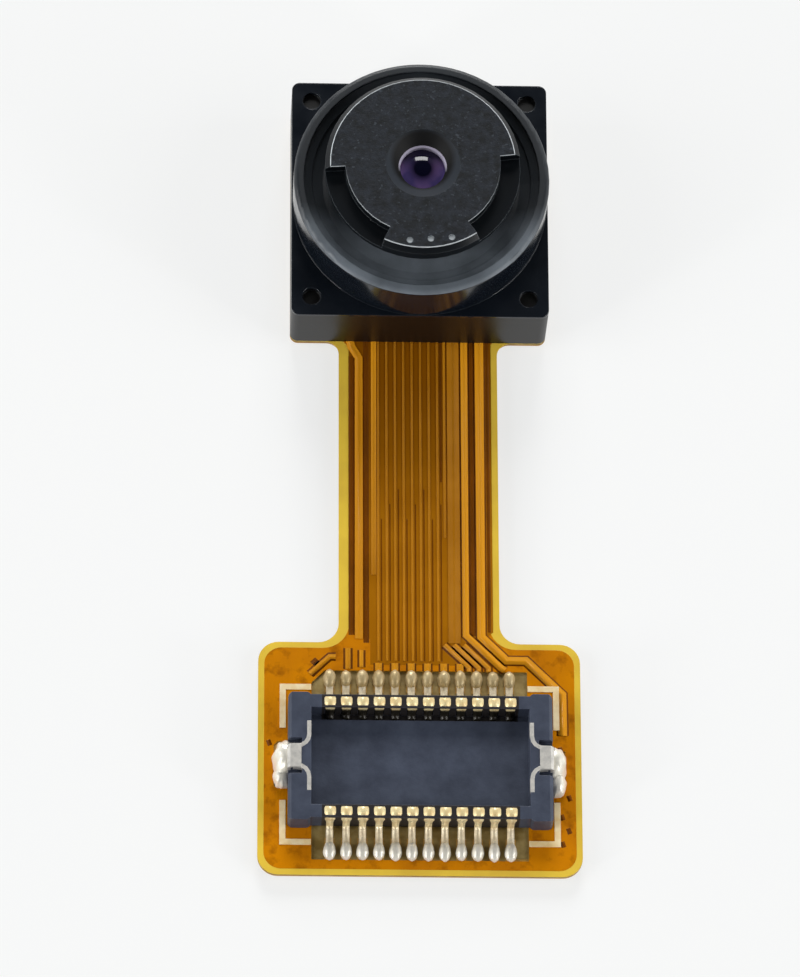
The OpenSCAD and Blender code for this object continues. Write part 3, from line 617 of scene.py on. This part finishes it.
# Painted reflection: the funnel is painted lighter than the block, lightest at its near side.
near_side = spread(tree, depth, -1.9 * MM, -0.7 * MM, 1.0, 0.0)
funnel_reflection = blend(tree, near_side, colour(30, 35, 40), blend(
    tree, haze, colour(92, 99, 106), colour(116, 124, 132)))
tone = blend(tree, in_funnel, tone, funnel_reflection)
# Sharp edges get a painted highlight, a lighter line.
tone = blend(tree, calc(tree, "MULTIPLY", painted_edge_highlight(tree, 0.03), 0.6), tone, colour(52, 58, 64))
tree.links.new(tone, main.inputs["Base Color"])
gloss = spread(tree, haze, 0, 1, 0.14, 0.24)
gloss = calc(tree, "MAXIMUM", gloss, calc(tree, "MULTIPLY", is_side, 0.42))
gloss = calc(tree, "MAXIMUM", gloss, calc(tree, "MULTIPLY", in_funnel, 0.42))
tree.links.new(gloss, main.inputs["Roughness"])
relief(tree, main, grain(tree, place, 14, 3), 0.001, 0.04)
dress(holder_plastic, "lens_holder")

barrel_plastic, tree, main, place = finish(
    "barrel_plastic", colour(12, 16, 20), 0.3, Specular_IOR_Level=0.25)
radius, height, depth = from_axis(tree, place)
on_face = calc(tree, "GREATER_THAN", height, FACE_EDGE_Z * MM)
in_recess = calc(tree, "MULTIPLY", calc(tree, "LESS_THAN", radius, RECESS_R * MM),
                 calc(tree, "LESS_THAN", height, FACE_EDGE_Z * MM))
# Painted highlight: the three dots on the tab, just below the face, are painted light.
dot_highlight = calc(tree, "MULTIPLY", between(tree, height, FACE_Z - 0.06, FACE_EDGE_Z),
               between(tree, radius, 1.8, 2.3))
mottle = spread(tree, grain(tree, place, 4, 5, 0.7), 0.36, 0.64)
face_tone = blend(tree, mottle, colour(10, 14, 17), colour(32, 37, 45))
fleck = spread(tree, grain(tree, place, 11, 2, 0.6), 0.62, 0.72)
face_tone = blend(tree, calc(tree, "MULTIPLY", fleck, 0.6), face_tone, colour(66, 72, 80))
tone = blend(tree, on_face, colour(12, 16, 20), face_tone)
x, y, _ = axes(tree, place)
# Painted shadow: the recess is black in a circle set towards the back, where the far rim shades it,
# and a face-like grey at its lit near wall.
from_dark = length(tree, x, calc(tree, "SUBTRACT", y, 0.16 * MM))
painted_recess_shadow = spread(tree, from_dark, 0.7 * MM, 0.84 * MM, 1.0, 0.0)
recess_tone = blend(tree, painted_recess_shadow, colour(40, 45, 52), colour(1, 1, 2))
# Painted highlight: a thin ring at the edge of the opening is painted light on its far half.
lip_highlight = calc(tree, "MULTIPLY", between(tree, radius, 0.53, OPENING_R),
           spread(tree, depth, -0.12 * MM, 0.1 * MM))
recess_tone = blend(tree, lip_highlight, recess_tone, colour(176, 170, 190))
tone = blend(tree, in_recess, tone, recess_tone)
tone = blend(tree, dot_highlight, tone, colour(196, 202, 206))
# Sharp edges outside the recess get a painted highlight, a lighter line.
edge_glint = calc(tree, "MULTIPLY", painted_edge_highlight(tree, 0.035), calc(tree, "SUBTRACT", 1.0, in_recess))
tone = blend(tree, calc(tree, "MULTIPLY", edge_glint, 0.85), tone, colour(76, 83, 88))
tree.links.new(tone, main.inputs["Base Color"])
tree.links.new(spread(tree, calc(tree, "MAXIMUM", on_face, in_recess), 0, 1, 0.3, 0.62),
               main.inputs["Roughness"])
pits = calc(tree, "MULTIPLY", on_face, grain(tree, place, 13, 4, 0.7))
relief(tree, main, pits, 0.02, 0.025)
dress(barrel_plastic, "lens_barrel", "barrel_retainer", "front_spacer", "rear_spacer")

connector_plastic, tree, main, place = finish(
    "navy_connector_plastic", colour(58, 66, 84), 0.42, Specular_IOR_Level=0.35)
x, y, _ = axes(tree, place)
# Painted shade: the wall tops beside the contacts are dark brown, with a painted brown reflection
# of the film.
painted_shade_by_contacts = calc(
    tree, "MULTIPLY", calc(tree, "GREATER_THAN", from_connector(tree, y), 1.115 * MM),
    calc(tree, "LESS_THAN", calc(tree, "ABSOLUTE", x), 2.4 * MM))
cloud = spread(tree, grain(tree, place, 1.6, 4, 0.6), 0.35, 0.66)
tone = blend(tree, cloud, colour(56, 62, 77), colour(70, 77, 93))
tone = blend(tree, calc(tree, "MULTIPLY", painted_shade_by_contacts, 0.9), tone, colour(36, 30, 24))
# Sharp edges get a painted highlight, a lighter line.
tone = blend(tree, calc(tree, "MULTIPLY", painted_edge_highlight(tree, 0.03), 0.35), tone,
             colour(112, 118, 138))
tree.links.new(tone, main.inputs["Base Color"])
relief(tree, main, grain(tree, place, 11, 3, 0.6), 0.004, 0.02)
dress(connector_plastic, "connector_housing")
print("plastic finishes on", len(dressed), "solids")

# %% [markdown]
# ### Metal, ink and glass
#
# Worn tin and gold are metals with a cloudy roughness. They are only partly metallic, so they stay
# bright where they would mirror the dark part of the sky. The marks are thick cream ink. Hidden
# pieces, such as the sensor under the filter, get a true finish too, since a later view may open
# the holder.

# %% Metal and other finishes
def metal_finish(name, light, dark, low, high, per_mm=5, dent_mm=0.004):
    """A metal with patches of two tones and of two roughnesses."""
    material, tree, main, place = finish(name, light, low, Metallic=0.3)
    patch = spread(tree, grain(tree, place, per_mm, 4, 0.6), 0.35, 0.65)
    tree.links.new(blend(tree, patch, light, dark), main.inputs["Base Color"])
    tree.links.new(spread(tree, patch, 0, 1, low, high), main.inputs["Roughness"])
    relief(tree, main, grain(tree, place, 2.2 * per_mm, 3), dent_mm, 0.02)
    return material


plate_metal = metal_finish("tinned_plate", colour(226, 222, 214), colour(190, 188, 182), 0.3, 0.45)
solder_metal = metal_finish("solder", colour(255, 250, 238), colour(232, 228, 214), 0.28, 0.42,
                            3.0, 0.006)
# The far row of solder is darker and amber: a painted reflection of the amber film.
dull_solder = metal_finish("dull_solder", colour(214, 194, 150), colour(176, 152, 104), 0.36, 0.5,
                           3.0, 0.006)
bare_copper = metal_finish("plated_copper", colour(214, 172, 92), colour(176, 132, 62), 0.3, 0.5)
dress(plate_metal, "left_hold_down", "right_hold_down")
dress(bare_copper, "front_copper", "ground_copper", "bond_wires")

base_film, tree, main, place = finish("bare_base_film", colour(140, 116, 52), 0.42)
stain = spread(tree, grain(tree, place, 2.5, 4, 0.6), 0.35, 0.65)
tree.links.new(blend(tree, stain, colour(172, 150, 96), colour(132, 108, 54)),
               main.inputs["Base Color"])
relief(tree, main, grain(tree, place, 9, 3), 0.006)
dress(base_film, "base_film")

rear_film = film_finish("film_rear", colour(196, 140, 26), colour(172, 116, 14))
dress(rear_film, "rear_coverlay")

stiffener, tree, main, place = finish("glass_fibre_stiffener", colour(196, 178, 128), 0.55)
weave = node(tree, "ShaderNodeTexWave", {
    "Vector": place, "Scale": 2.4 / MM, "Distortion": 1.5, "Detail": 2.0})
tree.links.new(blend(tree, spread(tree, weave.outputs["Fac"], 0.2, 0.8),
                     colour(202, 186, 138), colour(180, 160, 108)), main.inputs["Base Color"])
relief(tree, main, weave.outputs["Fac"], 0.004)
dress(stiffener, "sensor_stiffener", "connector_stiffener")

ink, tree, main, place = finish("cream_marking_ink", colour(244, 220, 172), 0.5)
fade = spread(tree, grain(tree, place, 4, 3), 0.35, 0.7)
tree.links.new(blend(tree, fade, colour(248, 228, 184), colour(232, 200, 140)),
               main.inputs["Base Color"])
relief(tree, main, grain(tree, place, 12, 3), 0.006, 0.01)
dress(ink, "corner_marks")

filter_glass, tree, main, place = finish(
    "infrared_filter", colour(70, 96, 104), 0.06, Coat_Weight=0.6)
sheen = spread(tree, grain(tree, place, 0.6, 2), 0.4, 0.6)
tree.links.new(blend(tree, sheen, colour(60, 86, 98), colour(96, 70, 98)),
               main.inputs["Base Color"])
dress(filter_glass, "ir_filter")

silicon, tree, main, place = finish("silicon_die", colour(58, 60, 70), 0.2, Metallic=0.6)
cells = node(tree, "ShaderNodeTexChecker", {"Vector": place, "Scale": 24 / MM})
tree.links.new(blend(tree, calc(tree, "MULTIPLY", cells.outputs["Fac"], 0.5),
                     colour(52, 70, 76), colour(90, 62, 96)), main.inputs["Base Color"])
dress(silicon, "image_sensor")

ceramic, tree, main, place = finish("capacitor_ceramic", colour(150, 120, 88), 0.5)
tree.links.new(blend(tree, grain(tree, place, 9, 3), colour(166, 134, 100), colour(128, 98, 70)),
               main.inputs["Base Color"])
dress(ceramic, "chip_capacitors")
print("finishes so far:", len(bpy.data.materials))

# %% [markdown]
# ## Contacts
#
# Each contact is stamped from strip, bent over the wall of the tub and gold plated. It is wide
# where it crosses the wall and narrow below. One contact is modelled as a strip that follows a
# path in Y and Z with its own width at every point; a Geometry Nodes tree then sets twelve of them
# in a row.

# %% Model one contact
CONTACT_T, CONTACTS, PITCH = 0.06, 12, 0.4
CONTACT_PATH = [
    # distance from the middle of the connector, height, width
    (2.36, 0.335, 0.18), (2.05, 0.335, 0.18), (1.70, 0.335, 0.17), (1.625, 0.36, 0.17),
    (1.583, 0.43, 0.17), (1.580, 0.62, 0.17), (1.580, 0.72, 0.20), (1.576, 0.80, 0.26),
    (1.560, 0.88, 0.28), (1.520, 0.928, 0.28), (1.460, 0.942, 0.28), (1.380, 0.942, 0.28),
    (1.320, 0.928, 0.27), (1.282, 0.885, 0.25), (1.270, 0.80, 0.21), (1.270, 0.56, 0.19),
    (1.258, 0.475, 0.19), (1.215, 0.442, 0.19), (1.135, 0.440, 0.18),
]


def strip_solid(name, path, thickness, material):
    """A strip of even thickness along a path in Y and Z, with a width at each point."""
    build = bmesh.new()
    rings = []
    for i, (y, z, width) in enumerate(path):
        before, after = path[max(i - 1, 0)], path[min(i + 1, len(path) - 1)]
        along = Vector((after[0] - before[0], after[1] - before[1])).normalized()
        off = Vector((-along.y, along.x)) * thickness / 2
        corners = [(-1, -1), (1, -1), (1, 1), (-1, 1)]
        rings.append([build.verts.new(Vector((
            side * width / 2, y + turn * off.x, z + turn * off.y)) * MM)
            for side, turn in corners])
    for first, second in zip(rings, rings[1:]):
        for i in range(4):
            j = (i + 1) % 4
            build.faces.new((first[i], first[j], second[j], second[i]))
    build.faces.new(rings[0])
    build.faces.new(reversed(rings[-1]))
    bmesh.ops.recalc_face_normals(build, faces=build.faces)
    bmesh.ops.bevel(build, geom=build.edges[:], offset=0.012 * MM, segments=2,
                    affect="EDGES", clamp_overlap=True)
    mesh = bpy.data.meshes.new(name)
    build.to_mesh(mesh)
    build.free()
    mesh.materials.append(material)
    for face in mesh.polygons:
        face.use_smooth = True
    made = bpy.data.objects.new(name, mesh)
    bpy.context.scene.collection.objects.link(made)
    return made


gold, tree, main, place = finish("gold_plated_strip", colour(236, 208, 150), 0.3, Metallic=0.25)
_, y, z = axes(tree, place)
from_middle = from_connector(tree, y)
tinned = spread(tree, from_middle, 1.56 * MM, 1.70 * MM)
# Painted shade: the contact legs below the wall top, within the tub, are painted dark.
inside = calc(tree, "MULTIPLY", calc(tree, "LESS_THAN", from_middle, 1.31 * MM),
              spread(tree, z, 0.78 * MM, 0.88 * MM, 1.0, 0.0))
patch = spread(tree, grain(tree, place, 6, 4), 0.35, 0.65)
plating = blend(tree, patch, colour(255, 238, 184), colour(238, 208, 148))
plating = blend(tree, inside, plating, colour(34, 30, 22))
tin = blend(tree, patch, colour(250, 236, 206), colour(218, 200, 166))
tree.links.new(blend(tree, tinned, plating, tin), main.inputs["Base Color"])
tree.links.new(spread(tree, patch, 0, 1, 0.26, 0.42), main.inputs["Roughness"])
relief(tree, main, grain(tree, place, 12, 3), 0.002)
one_contact = strip_solid("one_contact", CONTACT_PATH, CONTACT_T, gold)
print("one contact:", len(one_contact.data.polygons), "faces")

# %% Set twelve contacts in a row
row_tree, given, output = start_tree("row", [
    ("Item", "Object"), ("Count", "Int"), ("Pitch", "Float"), ("Middle", "Float"),
    ("Level", "Float"), ("Turn", "Float"), ("Wobble", "Float"), ("Seed", "Int"),
    ("Material", "Material")])
item = node(row_tree, "GeometryNodeObjectInfo", {"Object": given.outputs["Item"]})
gap = node(row_tree, "ShaderNodeCombineXYZ", {"X": given.outputs["Pitch"]})
steps = calc(row_tree, "SUBTRACT", given.outputs["Count"], 1)
span = calc(row_tree, "MULTIPLY", steps, given.outputs["Pitch"])
start_x = calc(row_tree, "MULTIPLY", span, -0.5)
start = node(row_tree, "ShaderNodeCombineXYZ", {
    "X": start_x, "Y": given.outputs["Middle"], "Z": given.outputs["Level"]})
line = node(row_tree, "GeometryNodeMeshLine", {
    "Count": given.outputs["Count"], "Start Location": start.outputs[0],
    "Offset": gap.outputs[0]}, mode="OFFSET")
chance = node(row_tree, "FunctionNodeRandomValue", {
    "Min": (-1, -1, -1), "Max": (1, 1, 1), "Seed": given.outputs["Seed"]}, data_type="FLOAT_VECTOR")
shake = node(row_tree, "ShaderNodeVectorMath", {
    0: chance.outputs[0], "Scale": given.outputs["Wobble"]}, operation="SCALE")
size = node(row_tree, "ShaderNodeVectorMath", {0: shake.outputs[0], 1: (1, 1, 1)}, operation="ADD")
turn = node(row_tree, "ShaderNodeCombineXYZ", {"Z": given.outputs["Turn"]})
placed = node(row_tree, "GeometryNodeInstanceOnPoints", {
    "Points": line.outputs[0], "Instance": item.outputs["Geometry"],
    "Rotation": turn.outputs[0], "Scale": size.outputs[0]})
end_tree(row_tree, placed.outputs[0], given.outputs["Material"], output)


def row(name, item, material, turn, reach=0.0, level=0.0, wobble=0.0, seed=1):
    """Twelve copies of an item at the connector's pitch, reach away from its middle.

    Turn is 0 for the row at the back and 180 for the one in front.
    """
    holder = bpy.data.objects.new(name, bpy.data.meshes.new(name))
    bpy.context.scene.collection.objects.link(holder)
    middle = CONNECTOR_Y + reach * math.cos(math.radians(turn))
    made = grow(holder, row_tree, name, Item=item, Count=CONTACTS, Pitch=PITCH * MM,
                Middle=middle * MM, Level=level * MM, Turn=math.radians(turn), Wobble=wobble,
                Seed=seed, Material=material)
    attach(made, "root")
    return made


for name, turn in (("inner_contacts", 0), ("outer_contacts", 180)):
    contacts = row(name + "_formed", one_contact, gold, turn)
    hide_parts(name)
    print(contacts.name, len(contacts.data.polygons), "faces")
bpy.data.objects.remove(one_contact)

# %% [markdown]
# ## Solder
#
# Solder wets the tail of each contact and freezes as a bright pillow that is highest over the end
# of the tail. One pillow is a dome of rings whose radius and height follow a curve, pushed about by
# noise; the same row tree repeats it with a small random change in size.

# %% One pillow of solder and two rows of them
def pillow(name, centre, half_x, half_y, height, material, uneven=0.12, seed=0.0, steps=28,
           rings=9):
    """A frozen drop on a flat pad, centre and sizes in millimetres."""
    build = bmesh.new()
    loops = []
    for ring in range(rings):
        t = ring / (rings - 1)
        reach = math.cos(t * math.pi / 2) ** 0.7
        rise = math.sin(t * math.pi / 2) ** 1.3
        loop = []
        for step in range(steps):
            a = 2 * math.pi * step / steps
            push = 1 + uneven * noise.noise(Vector((
                2 * math.cos(a), 2 * math.sin(a), 2 * t + seed)))
            loop.append(build.verts.new(Vector((
                centre[0] + half_x * reach * push * math.cos(a),
                centre[1] + half_y * reach * push * math.sin(a),
                centre[2] + height * rise)) * MM))
        loops.append(loop)
    for lower, upper in zip(loops, loops[1:]):
        for i in range(steps):
            j = (i + 1) % steps
            build.faces.new((lower[i], lower[j], upper[j], upper[i]))
    build.faces.new(list(reversed(loops[0])))
    bmesh.ops.remove_doubles(build, verts=loops[-1], dist=0.0005 * MM)
    bmesh.ops.recalc_face_normals(build, faces=build.faces)
    mesh = bpy.data.meshes.new(name)
    build.to_mesh(mesh)
    build.free()
    mesh.materials.append(material)
    for face in mesh.polygons:
        face.use_smooth = True
    made = bpy.data.objects.new(name, mesh)
    bpy.context.scene.collection.objects.link(made)
    return made


PAD_Z = 0.30
one_drop = pillow("one_drop", (0, 0, 0), 0.15, 0.25, 0.17, solder_metal)
# The far row takes the solder with the painted reflection of the film.
drops = [row("solder_" + side, one_drop, material, turn, 2.24, PAD_Z, 0.07, seed)
         for side, material, turn, seed in (
             ("inner", dull_solder, 0, 4), ("outer", solder_metal, 180, 9))]
contact_solder = joined("contact_solder_drops", drops)
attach(contact_solder, "root")
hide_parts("contact_solder")
bpy.data.objects.remove(one_drop)

# %% Lumps of solder on the hold-downs
LEFT_LUMPS = [((-3.27, 0.08), 0.33, 0.50, 0.56), ((-3.35, -0.36), 0.24, 0.30, 0.30)]
RIGHT_LUMPS = [((3.29, 0.02), 0.30, 0.44, 0.52), ((3.35, -0.48), 0.22, 0.34, 0.32)]
lumps = []
for index, ((x, y), half_x, half_y, height) in enumerate(LEFT_LUMPS + RIGHT_LUMPS):
    lumps.append(pillow("lump", (x, y + CONNECTOR_Y, PAD_Z), half_x, half_y, height, solder_metal,
                        uneven=0.2, seed=3.7 * index, steps=48, rings=16))
hold_down_solder = joined("hold_down_solder_lumps", lumps)
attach(hold_down_solder, "root")
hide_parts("hold_down_solder")
print("solder:", len(contact_solder.data.polygons) + len(hold_down_solder.data.polygons), "faces")

# %% [markdown]
# ## Lens
#
# Three plastic lenses sit one behind the other. The two hidden ones are clear. The front one has a
# dark coated finish, almost black in the middle, with a painted violet reflection in streaks that
# grows towards its rim at the near side.

# %% Lens finishes
clear_plastic, tree, main, place = finish(
    "clear_lens", (1, 1, 1, 1), 0.02, Transmission_Weight=1.0, IOR=1.53)
tint = spread(tree, grain(tree, place, 0.5, 1), 0.4, 0.6)
tree.links.new(blend(tree, tint, colour(236, 240, 244), colour(244, 240, 236)),
               main.inputs["Base Color"])
dress(clear_plastic, "middle_lens", "rear_lens")

coated_lens, tree, main, place = finish(
    "coated_lens", colour(5, 5, 24), 0.06, Specular_IOR_Level=0.35)
radius, height, depth = from_axis(tree, place)
rim = spread(tree, radius, 0.2 * MM, 0.5 * MM)
streak = spread(tree, grain(tree, place, 1.6, 2), 0.35, 0.65)
# Painted reflection: violet streaks towards the rim, on the near side only.
violet = blend(tree, streak, colour(136, 104, 160), colour(84, 72, 128))
shade = spread(tree, depth, -0.05 * MM, 0.35 * MM, 1.0, 0.1)
tree.links.new(blend(tree, calc(tree, "MULTIPLY", rim, shade), colour(4, 4, 24), violet),
               main.inputs["Base Color"])
dress(coated_lens, "front_lens")
print("finished solids:", len(dressed))
